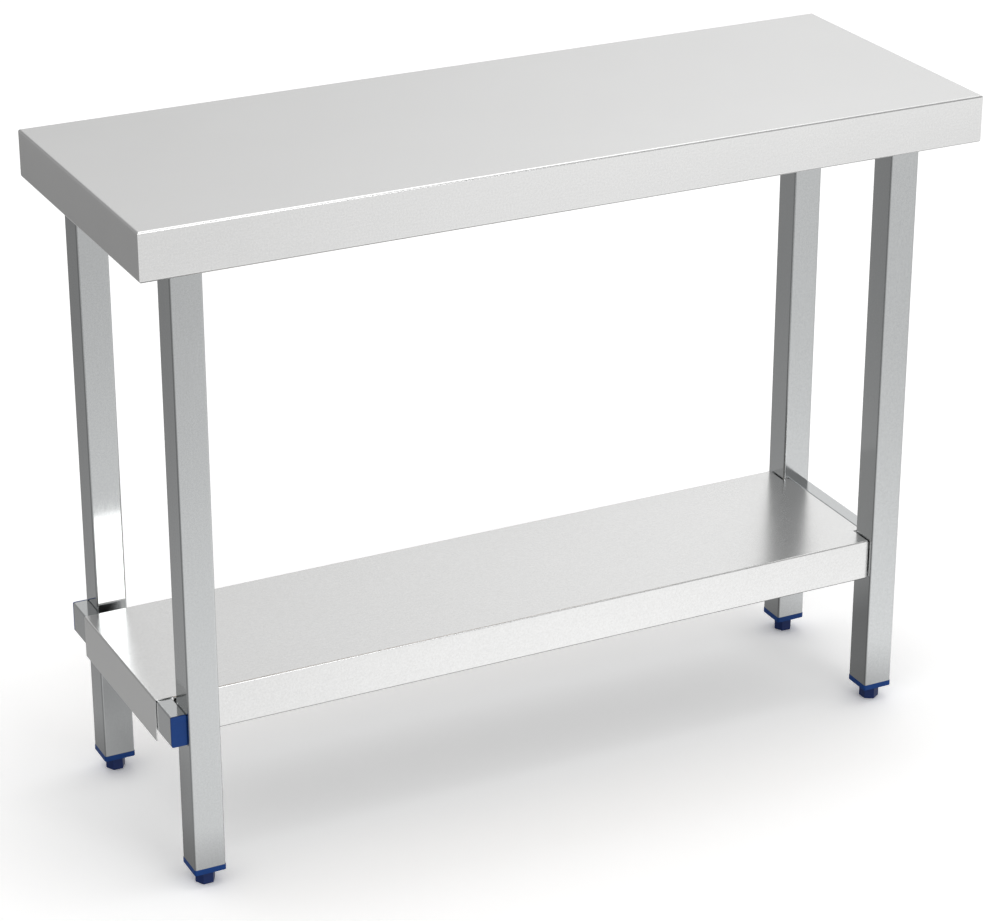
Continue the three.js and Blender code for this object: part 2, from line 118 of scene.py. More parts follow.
# The studio wall is a ball. Its brightness goes by the share of a turn from -Y through -X, +Y and +X, and by
# the share of its height from the lowest point up.
WALL_RADIUS = 12.0
WALL_TOP_LEVEL = 1.33
WALL_BY_AZIMUTH = [
    (0.0, 0.77),
    (0.08, 0.5),
    (0.19, 0.22),
    (0.33, 0.24),
    (0.398, 0.26),
    (0.415, 0.37),
    (0.447, 0.275),
    (0.5, 0.46),
    (0.556, 0.63),
    (0.592, 0.77),
    (0.75, 0.8),
    (0.83, 0.7),
    (0.905, 0.88),
    (0.928, 1.0),
    (0.947, 0.75),
    (1.0, 0.77),
]
WALL_BY_HEIGHT = [
    (0.0, 0.25),
    (0.14, 0.35),
    (0.22, 0.81),
    (0.25, 0.95),
    (0.27, 0.98),
    (0.29, 0.94),
    (0.32, 0.77),
    (0.345, 0.68),
    (0.375, 0.66),
    (0.41, 0.9),
    (0.46, 0.88),
    (0.5, 0.79),
    (0.65, 0.73),
    (0.69, 0.83),
    (0.715, 0.95),
    (1.0, 0.92),
]

# The shade on the wall in front and the strip light overhead. Each pair says where an edge begins and is
# full, along one axis of the direction to the wall.
FRONT_SHADE = 0.65
FRONT_SHADE_BY_Y = (0.0, -0.4)
FRONT_SHADE_BY_Z = (0.0, 0.15)
STRIP_LEVEL = 1.4
STRIP_LEFT = (0.18, 0.28)
STRIP_RIGHT = (0.5, 0.4)
STRIP_BY_Z = (0.82, 0.92)

LIGHTS_AIM = Vector((0.0, 0.0, 0.4))
CAMERA_PLACE = (-1.6756, -3.3520, 2.0708)
CAMERA_TILT = math.radians(65.931)
CAMERA_TURN = math.radians(-26.413)
SENSOR_WIDTH = 36.0


def corners_named(part):
    return [f"{corner}_{part}" for corner in CORNERS]


def middle(node):
    low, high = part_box(node)
    return (low + high) / 2


def extent(node):
    low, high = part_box(node)
    return high - low


# Properties


def length(name, description, default):
    return bpy.props.FloatProperty(
        name=name,
        description=description,
        default=default,
        min=0.0,
        max=2.0,
        subtype="DISTANCE",
        unit="LENGTH",
        precision=4,
    )


def share(name, description, default):
    return bpy.props.FloatProperty(
        name=name, description=description, default=default, min=0.0, max=1.0, subtype="FACTOR"
    )


def colour(name, description, default):
    return bpy.props.FloatVectorProperty(
        name=name, description=description, default=default, min=0.0, max=1.0, subtype="COLOR"
    )


class TubeSizes(bpy.types.PropertyGroup):
    leg_side: length("Leg side", "Outside width of a leg's square tube", extent("left_front_leg").x)
    leg_corner: length("Leg corner", "Outside radius of a leg's corners", 2.5 * MM)
    rail_width: length("Rail width", "Outside width of a rail's tube", extent("left_rail").x)
    rail_height: length("Rail height", "Outside height of a rail's tube", extent("left_rail").z)
    rail_corner: length("Rail corner", "Outside radius of a rail's corners", 2 * MM)
    wall: length("Wall", "Thickness of the tubes' walls", 1.5 * MM)


class FixingSizes(bpy.types.PropertyGroup):
    sheet: length("Sheet", "Thickness of the shelf's and the stiffener's sheet", 1.2 * MM)
    stem_pitch: length("Stem pitch", "Rise of the screw feet's thread in one turn", 1.5 * MM)
    stem_depth: length("Stem thread depth", "Depth of the screw feet's thread", 0.9 * MM)
    bolt_pitch: length("Bolt pitch", "Rise of the pivot bolts' thread in one turn", 1.25 * MM)
    bolt_depth: length("Bolt thread depth", "Depth of the pivot bolts' thread", 0.7 * MM)
    bolt_shank: length("Bolt shank", "Radius of the pivot bolts", 4 * MM)
    bolt_head: length("Bolt head", "Height of the pivot bolts' heads", 5.3 * MM)
    bolt_thread: length("Bolt thread", "Length of the thread on the pivot bolts", 20 * MM)
    nut_hex: length("Nut hexagon", "Height of the lock nuts' hexagon", 6.5 * MM)
    nut_collar: length("Nut collar", "Radius of the lock nuts' collar", 5.6 * MM)
    nut_play: length("Nut play", "Gap between the lock nuts' bore and the bolts", 0.15 * MM)
    screw_shank: length("Screw shank", "Radius of the bracket screws", 2.1 * MM)
    screw_head: length("Screw head", "Height of the bracket screws' heads", 2.4 * MM)
    screw_pitch: length("Screw pitch", "Distance between the threads of the bracket screws", 1.6 * MM)
    screw_depth: length("Screw thread depth", "Depth of the bracket screws' thread", 0.63 * MM)
    screw_recess: length("Screw recess", "Width of the cross recess in the screws' heads", 0.75 * MM)
    bead_radius: length("Bead radius", "Radius of the weld beads", 1.2 * MM)
    bead_step: length("Bead step", "Distance between the ripples of a weld bead", 1.6 * MM)
    spot_radius: length("Spot radius", "Radius of the spot-weld marks", 3 * MM)
    spot_height: length("Spot height", "Half the height of the spot-weld marks", 0.12 * MM)
    spot_edge: length("Spot edge", "Distance of the spot-weld marks from the stiffener's edges", 9 * MM)
    spot_step: length("Spot step", "Distance between spot-weld marks", 75 * MM)


class SteelFinish(bpy.types.PropertyGroup):
    sheet: colour("Sheet", "Colour of the worktop's and the shelf's sheet", (0.86, 0.86, 0.855))
    tube: colour("Tube", "Colour of the legs' and rails' tube", (0.6, 0.613, 0.617))
    plating: colour("Plating", "Colour of the zinc-plated hinges and fasteners", (0.62, 0.63, 0.64))
    sheet_roughness: share("Sheet roughness", "Roughness of the satin sheet", 0.24)
    tube_roughness: share("Tube roughness", "Roughness of the polished tube", 0.13)
    grain: length("Grain", "Width of the fine grinding marks", 0.7 * MM)


class PlasticFinish(bpy.types.PropertyGroup):
    blue: colour("Blue", "Colour of the moulded plugs and caps", (0.0, 0.04, 0.2))
    foot_blue: colour("Foot blue", "Colour of the six-sided feet", (0.008, 0.024, 0.115))
    roughness: share("Roughness", "Roughness of the moulded plastic", 0.42)


class BoardFinish(bpy.types.PropertyGroup):
    pale: colour("Pale chips", "Colour of the board's lighter chips", (0.42, 0.29, 0.16))
    dark: colour("Dark chips", "Colour of the board's darker chips", (0.2, 0.12, 0.06))


class Studio(bpy.types.PropertyGroup):
    floor: colour("Floor", "Colour of the floor", (0.82, 0.82, 0.82))
    floor_gain: share("Floor gain", "How much paler the floor looks to the camera than it is", 0.5)
    # Painted shadow: how much darker the steel sees the floor under the table
    painted_floor_shadow: share("Floor shade", "How much darker the steel sees the floor under the table", 0.5)
    ambient: share("Ambient", "Strength of the light from all round", 0.82)
    key_power: bpy.props.FloatProperty(
        name="Key light",
        description="Power of the light in front",
        default=65.0,
        min=0.0,
        unit="POWER",
    )
    overhead_power: bpy.props.FloatProperty(
        name="Overhead light",
        description="Power of the soft light overhead",
        default=35.0,
        min=0.0,
        unit="POWER",
    )
    lens: bpy.props.FloatProperty(
        name="Lens", description="Focal length of the camera", default=117.02, min=1.0, unit="CAMERA"
    )


class TableProperties(bpy.types.PropertyGroup):
    tubes: bpy.props.PointerProperty(type=TubeSizes, name="Tubes", description="Sizes of the tubes")
    fixings: bpy.props.PointerProperty(
        type=FixingSizes, name="Fixings", description="Sizes of threads and welds"
    )
    steel: bpy.props.PointerProperty(type=SteelFinish, name="Steel", description="Steel finishes")
    plastic: bpy.props.PointerProperty(type=PlasticFinish, name="Plastic", description="Plastic finish")
    board: bpy.props.PointerProperty(type=BoardFinish, name="Board", description="Board finish")
    studio: bpy.props.PointerProperty(type=Studio, name="Studio", description="Floor, lights and camera")


def settings():
    return bpy.context.scene.work_table


# Node trees


class Tree:
    """Short calls for building a node tree."""

    def __init__(self, tree):
        self.tree = tree

    def add(self, kind, inputs=None, **settings_of_node):
        node = self.tree.nodes.new(kind)
        for name, value in settings_of_node.items():
            setattr(node, name, value)
        for key, value in (inputs or {}).items():
            self.feed(node.inputs[key], value)
        return node

    def feed(self, socket, value):
        if isinstance(value, bpy.types.NodeSocket):
            self.tree.links.new(value, socket)
        elif isinstance(value, bpy.types.Node):
            self.tree.links.new(value.outputs[0], socket)
        else:
            socket.default_value = value

    def socket(self, name, way, kind, default=None):
        made = self.tree.interface.new_socket(name=name, in_out=way, socket_type=kind)
        if default is not None:
            made.default_value = default
        return made

    def math(self, operation, *values):
        return self.add("ShaderNodeMath", dict(enumerate(values)), operation=operation).outputs[0]

    def product(self, *values):
        """The values multiplied together."""
        result = values[0]
        for value in values[1:]:
            result = self.math("MULTIPLY", result, value)
        return result

    def graded(self, value, start, end, low=0.0, high=1.0):
        """Goes from low to high as value goes from start to end, and stays level past both."""
        return self.add("ShaderNodeMapRange", {0: value, 1: start, 2: end, 3: low, 4: high}).outputs[0]

    def vector(self, x=0.0, y=0.0, z=0.0):
        return self.add("ShaderNodeCombineXYZ", {0: x, 1: y, 2: z}).outputs[0]

    def axes(self, vector):
        return self.add("ShaderNodeSeparateXYZ", {0: vector}).outputs

    def vector_math(self, operation, *values, **inputs):
        """A vector operation's node. Its output 0 is a vector and its output 1 a number."""
        return self.add("ShaderNodeVectorMath", {**dict(enumerate(values)), **inputs}, operation=operation)

    def tinted(self, tint, shade):
        return self.vector_math("SCALE", tint, Scale=shade).outputs[0]

    def object_place(self):
        return self.add("ShaderNodeTexCoord").outputs["Object"]

    def noise(self, where, scale, detail, roughness=0.5, distortion=0.0):
        """Noise around 0.5, with scale clouds in a metre."""
        node = self.add("ShaderNodeTexNoise", {"Vector": where, "Scale": scale, "Detail": detail})
        self.feed(node.inputs["Roughness"], roughness)
        self.feed(node.inputs["Distortion"], distortion)
        return node.outputs["Fac"]

    def bump(self, height, strength, depth):
        return self.add("ShaderNodeBump", {"Strength": strength, "Distance": depth, "Height": height})


# Shapes


class ShapeTree(Tree):
    """A Geometry Nodes tree with named inputs, which ends in Realize Instances and Set Material."""

    def __init__(self, name, inputs):
        super().__init__(bpy.data.node_groups.new(name, "GeometryNodeTree"))
        self.socket("Geometry", "INPUT", "NodeSocketGeometry")
        for label, kind in inputs.items():
            self.socket(label, "INPUT", f"NodeSocket{kind}")
        self.socket("Material", "INPUT", "NodeSocketMaterial")
        self.socket("Geometry", "OUTPUT", "NodeSocketGeometry")
        self.given = self.add("NodeGroupInput").outputs

    def on_points(self, instance, rotation=(0.0, 0.0, 0.0)):
        return self.add(
            "GeometryNodeInstanceOnPoints",
            {"Points": self.given["Geometry"], "Instance": instance, "Rotation": rotation},
        )

    def finish(self, geometry):
        real = self.add("GeometryNodeRealizeInstances", {0: geometry})
        coat = {"Geometry": real, "Material": self.given["Material"]}
        painted = self.add("GeometryNodeSetMaterial", coat)
        self.add("NodeGroupOutput", {0: painted})
        return self.tree


def place(name, mesh):
    mesh.name = name
    piece = bpy.data.objects.new(name, mesh)
    bpy.context.scene.collection.objects.link(piece)
    return piece


def evaluated_mesh(maker):
    """The object's mesh with its modifiers applied."""
    return bpy.data.meshes.new_from_object(maker.evaluated_get(bpy.context.evaluated_depsgraph_get()))


def grow(name, points, tree, material, values, edges=()):
    """Runs a shape tree on points and returns the result as a plain mesh object."""
    cloud = bpy.data.meshes.new(f"{name}_points")
    cloud.from_pydata([tuple(p) for p in points], list(edges), [])
    maker = place(f"{name}_maker", cloud)
    modifier = maker.modifiers.new("shape", "NODES")
    modifier.node_group = tree
    sockets = {s.name: s for s in tree.interface.items_tree if s.in_out == "INPUT"}
    for label, value in {**values, "Material": material}.items():
        modifier[sockets[label].identifier] = value
    made = evaluated_mesh(maker)
    bpy.data.objects.remove(maker)
    if not made.polygons:
        raise RuntimeError(f"{name} has no faces")
    return place(name, made)


def mitred(edge):
    """Whether the edge is where two upright or sloping faces meet round a corner."""
    ways = [face.normal.xy for face in edge.link_faces]
    return min(way.length for way in ways) > LEVEL_TILT and ways[0].angle(ways[1]) > MITRE


def smooth(piece, sharp=ROUND_BEND):
    """Shades the bends round and leaves the flats flat."""
    mesh = piece.data
    shape = bmesh.new()
    shape.from_mesh(mesh)
    for face in shape.faces:
        face.smooth = True
    for edge in shape.edges:
        edge.smooth = len(edge.link_faces) == 2 and edge.calc_face_angle() < sharp and not mitred(edge)
    shape.to_mesh(mesh)
    shape.free()
    piece.modifiers.new("flats", "WEIGHTED_NORMAL").keep_sharp = True
    shaded = evaluated_mesh(piece)
    piece.modifiers.clear()
    piece.data = shaded
    bpy.data.meshes.remove(mesh)
    shaded.name = piece.name
    return piece


def refined(name, nodes, material):
    """One merged copy of like CAD nodes, with its bends shaded round."""
    shape = bmesh.new()
    for node in nodes:
        shape.from_mesh(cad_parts[node].data)
    bmesh.ops.remove_doubles(shape, verts=shape.verts, dist=MERGE_DISTANCE)
    mesh = bpy.data.meshes.new(name)
    shape.to_mesh(mesh)
    shape.free()
    mesh.materials.clear()
    mesh.materials.append(material)
    mesh.polygons.foreach_set("material_index", [0] * len(mesh.polygons))
    return smooth(place(name, mesh))


def settle(piece, body, slot, *nodes):
    """Rides the piece on its body and hides the CAD nodes that it stands for. slot is not used."""
    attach(piece, body)
    if nodes:
        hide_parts(*nodes)
    return piece


def paint(nodes, material):
    for node in nodes:
        for material_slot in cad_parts[node].material_slots:
            material_slot.material = material


def tube_tree():
    """Square tube with round corners, centred on each point. Its wall is swept round its section."""
    sizes = dict.fromkeys(("Width", "Height", "Corner", "Wall", "Length"), "Float")
    tree = ShapeTree("square_tube", {**sizes, "Turn": "Rotation"})
    given = tree.given
    middle_of_wall = {
        "Width": tree.math("SUBTRACT", given["Width"], given["Wall"]),
        "Height": tree.math("SUBTRACT", given["Height"], given["Wall"]),
    }
    section = tree.add("GeometryNodeCurvePrimitiveQuadrilateral", middle_of_wall)
    radius = tree.math("SUBTRACT", given["Corner"], tree.product(given["Wall"], 0.5))
    bends = {"Curve": section, "Count": TUBE_BEND_POINTS, "Radius": radius}
    rounded = tree.add("GeometryNodeFilletCurve", bends, mode="POLY")
    upright = tree.add("GeometryNodeSetCurveNormal", {"Curve": rounded}, mode="Z_UP")
    wall = tree.add(
        "GeometryNodeCurvePrimitiveQuadrilateral", {"Width": given["Wall"], "Height": given["Length"]}
    )
    swept = tree.add("GeometryNodeCurveToMesh", {"Curve": upright, "Profile Curve": wall})
    return tree.finish(tree.on_points(swept, given["Turn"]))


def thread_tree():
    """Threaded rod standing on each point, closed and chamfered at both ends.

    A grid is rolled up. Its first and last rows close the ends, and those between them are the rod's rows.
    """
    sizes = dict.fromkeys(("Radius", "Depth", "Pitch", "Length"), "Float")
    tree = ShapeTree("threaded_rod", {**sizes, "Rows": "Int"})
    given = tree.given
    counts = {"Vertices X": THREAD_SIDES + 1, "Vertices Y": tree.math("ADD", given["Rows"], 3.0)}
    grid = tree.add("GeometryNodeMeshGrid", {"Size X": 1.0, "Size Y": 1.0, **counts})
    across, along, _ = tree.axes(tree.add("GeometryNodeInputPosition"))
    round_share = tree.math("ADD", across, 0.5)
    grid_row = tree.product(tree.math("ADD", along, 0.5), tree.math("ADD", given["Rows"], 2.0))
    row = tree.math("SUBTRACT", grid_row, 1.0)
    up_share = tree.add("ShaderNodeClamp", {0: tree.math("DIVIDE", row, given["Rows"])}).outputs[0]
    height = tree.product(up_share, given["Length"])
    turns = tree.math("SUBTRACT", tree.math("DIVIDE", height, given["Pitch"]), round_share)
    valley = tree.math("PINGPONG", tree.product(tree.math("FRACT", turns), 2.0), 1.0)
    threaded = tree.math("SUBTRACT", given["Radius"], tree.product(valley, given["Depth"]))
    from_end = tree.math("MINIMUM", height, tree.math("SUBTRACT", given["Length"], height))
    core = tree.math("SUBTRACT", given["Radius"], given["Depth"])
    chamfered = tree.math("MINIMUM", threaded, tree.math("ADD", core, from_end))
    after_first = tree.math("GREATER_THAN", row, -0.5)
    before_last = tree.math("LESS_THAN", row, tree.math("ADD", given["Rows"], 0.5))
    reach = tree.product(chamfered, tree.product(after_first, before_last))
    angle = tree.product(round_share, math.tau)
    spot = tree.vector(
        tree.product(tree.math("COSINE", angle), reach), tree.product(tree.math("SINE", angle), reach), height
    )
    rolled = tree.add("GeometryNodeSetPosition", {"Geometry": grid, "Position": spot})
    closed = tree.add("GeometryNodeMergeByDistance", {"Geometry": rolled, "Distance": MERGE_DISTANCE / 2})
    return tree.finish(tree.on_points(closed))


def bead_tree():
    """Rippled weld bead along each edge, with tapered ends."""
    tree = ShapeTree("weld_bead", {"Radius": "Float", "Step": "Float"})
    given = tree.given
    line = tree.add("GeometryNodeMeshToCurve", {0: given["Geometry"]})
    steps = {"Curve": line, "Length": tree.product(given["Step"], 1 / BEAD_POINTS)}
    fine = tree.add("GeometryNodeResampleCurve", steps, mode="LENGTH")
    along = tree.add("GeometryNodeSplineParameter").outputs
    half_turns = tree.math("DIVIDE", tree.product(along["Length"], math.pi), given["Step"])
    ripple = tree.math("ABSOLUTE", tree.math("SINE", half_turns))
    from_end = tree.math("PINGPONG", along["Factor"], 0.5)
    tapered = tree.math("SQRT", tree.math("MINIMUM", tree.product(from_end, 1 / BEAD_TAPER), 1.0))
    rippled = tree.math("MULTIPLY_ADD", ripple, BEAD_RIPPLE, 1 - BEAD_RIPPLE)
    size = tree.product(rippled, tree.math("MAXIMUM", tapered, BEAD_END))
    circle = tree.add("GeometryNodeCurvePrimitiveCircle", {"Resolution": 10, "Radius": given["Radius"]})
    sweep = {"Curve": fine, "Profile Curve": circle, "Scale": size, "Fill Caps": True}
    return tree.finish(tree.add("GeometryNodeCurveToMesh", sweep))


def spot_tree():
    """Shallow round spot-weld mark on each point, lying in the XY plane."""
    tree = ShapeTree("spot_mark", {"Radius": "Float", "Height": "Float"})
    ball = tree.add("GeometryNodeMeshUVSphere", {"Segments": 20, "Rings": 8, "Radius": 1.0})
    size = tree.vector(tree.given["Radius"], tree.given["Radius"], tree.given["Height"])
    flat = tree.add("GeometryNodeTransform", {"Geometry": ball, "Scale": size})
    return tree.finish(tree.on_points(flat))


def hardware_tree():
    """A turned fastener on each point, facing down or outwards along Y, turned by chance about its axis."""
    kinds = {"Fastener": "Object", "Outwards": "Bool", "Recess": "Float", "Seed": "Int"}
    tree = ShapeTree("hardware", kinds)
    given = tree.given
    shape = tree.add("GeometryNodeObjectInfo", {"Object": given["Fastener"]}).outputs["Geometry"]
    width = given["Recess"]
    size = tree.vector(width, tree.product(width, RECESS_ACROSS), tree.product(width, RECESS_HEIGHT))
    bar = tree.add("GeometryNodeMeshCube", {"Size": size}).outputs[0]
    quarter_turn = (0.0, 0.0, math.pi / 2)
    crossed = tree.add("GeometryNodeTransform", {"Geometry": bar, "Rotation": quarter_turn}).outputs[0]
    cross = tree.add("GeometryNodeMeshBoolean", operation="UNION")
    tree.feed(cross.inputs[1], bar)
    tree.feed(cross.inputs[1], crossed)
    recessed = tree.add("GeometryNodeMeshBoolean", {"Mesh 1": shape}, operation="DIFFERENCE")
    tree.feed(recessed.inputs[1], cross)
    heads = {"Switch": tree.math("GREATER_THAN", width, 0.0), "False": shape, "True": recessed}
    chosen = tree.add("GeometryNodeSwitch", heads, input_type="GEOMETRY")
    side = tree.math("SIGN", tree.axes(tree.add("GeometryNodeInputPosition"))[1])
    ways = {"Switch": given["Outwards"], "False": (0.0, 0.0, -1.0), "True": tree.vector(y=side)}
    facing = tree.add("GeometryNodeSwitch", ways, input_type="VECTOR")
    faced = tree.add("FunctionNodeAlignRotationToVector", {"Vector": facing}, axis="Z")
    angles = {2: 0.0, 3: math.tau, "Seed": given["Seed"]}
    spin = tree.add("FunctionNodeRandomValue", angles, data_type="FLOAT").outputs[1]
    spun = tree.add("FunctionNodeEulerToRotation", {0: tree.vector(z=spin)})
    turns = {"Rotation": faced, "Rotate By": spun}
    turned_by = tree.add("FunctionNodeRotateRotation", turns, rotation_space="LOCAL")
    return tree.finish(tree.on_points(chosen, turned_by))


def flat_reach(angle, flats):
    """How far a hexagon that is flats across reaches out at an angle."""
    return flats / 2 / math.cos((angle + math.pi / 6) % (math.pi / 3) - math.pi / 6)


def turned(name, rows, sides=48):
    """A closed turned shape about Z, from rows of (height, radius) or, on a hexagon, (height, radius, flats).

    A radius of 0 closes the shape with a point. Rows that close at neither end make a ring.
    """
    shape = bmesh.new()
    rings = []
    for height, radius, *flats in rows:
        if radius == 0:
            rings.append([shape.verts.new((0, 0, height))])
            continue
        ring = []
        for k in range(sides):
            angle = math.tau * k / sides
            reach = min([radius, *(flat_reach(angle, flat) for flat in flats)])
            ring.append(shape.verts.new((reach * math.cos(angle), reach * math.sin(angle), height)))
        rings.append(ring)
    if len(rings[0]) > 1:
        rings.append(rings[0])
    for below, above in zip(rings, rings[1:]):
        for k in range(sides):
            around = [below[k % len(below)], below[(k + 1) % len(below)]]
            around += [above[(k + 1) % len(above)], above[k % len(above)]]
            shape.faces.new(list(dict.fromkeys(around)))
    bmesh.ops.recalc_face_normals(shape, faces=shape.faces)
    mesh = bpy.data.meshes.new(name)
    shape.to_mesh(mesh)
    shape.free()
    return place(name, mesh)


# Finishes


def grain_group():
    """Grinding marks, fine mottle, cloudy patches and faint handling smears of a ground steel surface."""
    tree = Tree(bpy.data.node_groups.new("ground_steel", "ShaderNodeTree"))
    tree.socket("Colour", "INPUT", "NodeSocketColor", (0.8, 0.8, 0.8, 1.0))
    tree.socket("Roughness", "INPUT", "NodeSocketFloat", 0.2)
    tree.socket("Marks", "INPUT", "NodeSocketVector", (40.0, 1500.0, 1500.0))
    tree.socket("Contrast", "INPUT", "NodeSocketFloat", 0.06)
    tree.socket("Mottle", "INPUT", "NodeSocketFloat", 0.1)
    tree.socket("Smear", "INPUT", "NodeSocketFloat", 0.04)
    tree.socket("Colour", "OUTPUT", "NodeSocketColor")
    tree.socket("Roughness", "OUTPUT", "NodeSocketFloat")
    tree.socket("Height", "OUTPUT", "NodeSocketFloat")
    given = tree.add("NodeGroupInput").outputs
    where = tree.object_place()
    stretched = tree.vector_math("MULTIPLY", where, given["Marks"]).outputs[0]
    marks = tree.noise(stretched, scale=1.0, detail=3.0, roughness=0.6)
    pits = tree.noise(where, scale=420.0, detail=2.0, roughness=0.6)
    clouds = tree.noise(where, scale=9.0, detail=3.0, roughness=0.55)
    smears = tree.noise(where, scale=26.0, detail=4.0, roughness=0.65, distortion=0.8)
    mark, pit, cloud, smear = (tree.math("SUBTRACT", noise, 0.5) for noise in (marks, pits, clouds, smears))
    streaked = tree.product(tree.math("MULTIPLY_ADD", cloud, 0.5, mark), given["Contrast"])
    shade = tree.math("ADD", tree.math("MULTIPLY_ADD", pit, given["Mottle"], 1.0), streaked)
    uneven = tree.math("ADD", tree.math("ADD", cloud, smear), mark)
    rough = tree.math("MULTIPLY_ADD", uneven, given["Smear"], given["Roughness"])
    tinted = tree.tinted(given["Colour"], shade)
    tree.add("NodeGroupOutput", {"Colour": tinted, "Roughness": rough, "Height": mark})
    return tree.tree


def group_named(name, build):
    """The node group of this name, which is built the first time."""
    return bpy.data.node_groups.get(name) or build()


def new_finish(name):
    """A new material with its tree and its Principled shader."""
    made = bpy.data.materials.new(name)
    made.use_nodes = True
    tree = Tree(made.node_tree)
    return made, tree, tree.tree.nodes["Principled BSDF"]


def finish_named(name, build, *values):
    """The material of this name, which is built the first time."""
    return bpy.data.materials.get(name) or build(name, *values)


def ground_steel(name, steel_colour, roughness, marks, contrast, mottle, bump):
    """Bare ground steel. marks gives how many marks there are in a metre along each axis."""
    made, tree, shader = new_finish(name)
    values = {
        "Colour": (*steel_colour, 1.0),
        "Roughness": roughness,
        "Marks": marks,
        "Contrast": contrast,
        "Mottle": mottle,
        "Smear": 0.04,
    }
    group = tree.add("ShaderNodeGroup", node_tree=group_named("ground_steel", grain_group))
    for name_of_input, value in values.items():
        group.inputs[name_of_input].default_value = value
    shader.inputs["Metallic"].default_value = 1.0
    tree.feed(shader.inputs["Base Color"], group.outputs["Colour"])
    tree.feed(shader.inputs["Roughness"], group.outputs["Roughness"])
    tree.feed(shader.inputs["Normal"], tree.bump(group.outputs["Height"], bump, 0.02 * MM))
    return made


def plated_steel(name, steel_colour):
    """Zinc plating, with its cloudy spangle."""
    made, tree, shader = new_finish(name)
    where = tree.object_place()
    spangle = tree.add("ShaderNodeTexVoronoi", {"Vector": where, "Scale": 260.0}).outputs["Color"]
    haze = tree.noise(where, scale=120.0, detail=4.0)
    mixed = tree.product(tree.math("ADD", spangle, haze), 0.5)
    tone = tree.graded(mixed, 0.0, 1.0, low=0.8, high=1.1)
    tree.feed(shader.inputs["Base Color"], tree.tinted(steel_colour, tone))
    tree.feed(shader.inputs["Roughness"], tree.graded(mixed, 0.0, 1.0, low=0.28, high=0.48))
    tree.feed(shader.inputs["Normal"], tree.bump(mixed, 0.25, 0.02 * MM))
    shader.inputs["Metallic"].default_value = 1.0
    return made


def moulded_plastic(name, plastic_colour, roughness):
    """Moulded plastic with a fine spark-eroded skin and slight flow clouds."""
    made, tree, shader = new_finish(name)
    where = tree.object_place()
    skin = tree.noise(where, scale=2600.0, detail=2.0)
    flow = tree.noise(where, scale=60.0, detail=2.0, distortion=1.2)
    clouded = tree.graded(flow, 0.0, 1.0, low=0.88, high=1.12)
    tone = tree.math("ADD", clouded, tree.graded(skin, 0.0, 1.0, low=-0.06, high=0.06))
    tree.feed(shader.inputs["Base Color"], tree.tinted(plastic_colour, tone))
    spread = 0.08
    rough = tree.graded(flow, 0.0, 1.0, low=roughness - spread, high=roughness + spread)
    tree.feed(shader.inputs["Roughness"], rough)
    tree.feed(shader.inputs["Normal"], tree.bump(skin, 0.3, 0.03 * MM))
    shader.inputs["Specular IOR Level"].default_value = 0.3
    return made


def chipboard(name, pale, dark):
    """Pressed chips of two tones."""
    made, tree, shader = new_finish(name)
    where = tree.object_place()
    flattened = tree.vector_math("MULTIPLY", where, (1.0, 1.8, 2.5)).outputs[0]
    chips = tree.add("ShaderNodeTexVoronoi", {"Vector": flattened, "Scale": 320.0}).outputs["Color"]
    chip = tree.add("ShaderNodeSeparateColor", {0: chips}).outputs[0]
    dust = tree.noise(where, scale=900.0, detail=3.0)
    dust_share = 0.35
    tone = tree.math("MULTIPLY_ADD", dust, dust_share, tree.product(chip, 1 - dust_share))
    mixed = tree.add("ShaderNodeMix", {0: tone, 6: (*dark, 1.0), 7: (*pale, 1.0)}, data_type="RGBA")
    tree.feed(shader.inputs["Base Color"], mixed.outputs[2])
    tree.feed(shader.inputs["Roughness"], tree.graded(tone, 0.0, 1.0, low=0.7, high=0.92))
    tree.feed(shader.inputs["Normal"], tree.bump(tone, 0.5, 0.2 * MM))
    return made


def grinding_marks(width, direction):
    """How many grinding marks there are in a metre along each axis, where they run along direction."""
    return tuple((1 / MARK_LENGTH if axis == direction else 1) / width for axis in "XYZ")


def steel_sheet(name):
    steel = settings().steel
    marks, rough = grinding_marks(steel.grain, "X"), steel.sheet_roughness
    return ground_steel(name, steel.sheet, rough, marks, contrast=0.07, mottle=0.18, bump=0.25)


def steel_tube(name, direction):
    steel = settings().steel
    marks, rough = grinding_marks(steel.grain, direction), steel.tube_roughness
    return ground_steel(name, steel.tube, rough, marks, contrast=0.08, mottle=0.18, bump=0.2)


def worktop_finish():
    return finish_named("satin_worktop_sheet", steel_sheet)


def shelf_finish():
    return finish_named("satin_shelf_sheet", steel_sheet)


def leg_finish():
    return finish_named("ground_leg_tube", steel_tube, "Z")


def rail_finish():
    return finish_named("ground_rail_tube", steel_tube, "Y")


def plating_finish():
    return finish_named("zinc_plating", plated_steel, settings().steel.plating)


def plug_finish():
    plastic = settings().plastic
    return finish_named("blue_moulding", moulded_plastic, plastic.blue, plastic.roughness)


def foot_finish():
    plastic = settings().plastic
    return finish_named("dark_blue_moulding", moulded_plastic, plastic.foot_blue, plastic.roughness)


# Operators


class WORKTABLE_OT_worktop(bpy.types.Operator):
    """Give the folded worktop its satin sheet finish and the board below it its chips"""

    bl_idname = "worktable.worktop"
    bl_label = "Worktop"

    def execute(self, context):
        table = context.scene.work_table
        sheet = refined("worktop_sheet", ["worktop_skin"], worktop_finish())
        settle(sheet, "table", "worktop_steel", "worktop_skin")
        board = table.board
        paint(["worktop_board"], finish_named("pressed_chips", chipboard, board.pale, board.dark))
        return {"FINISHED"}


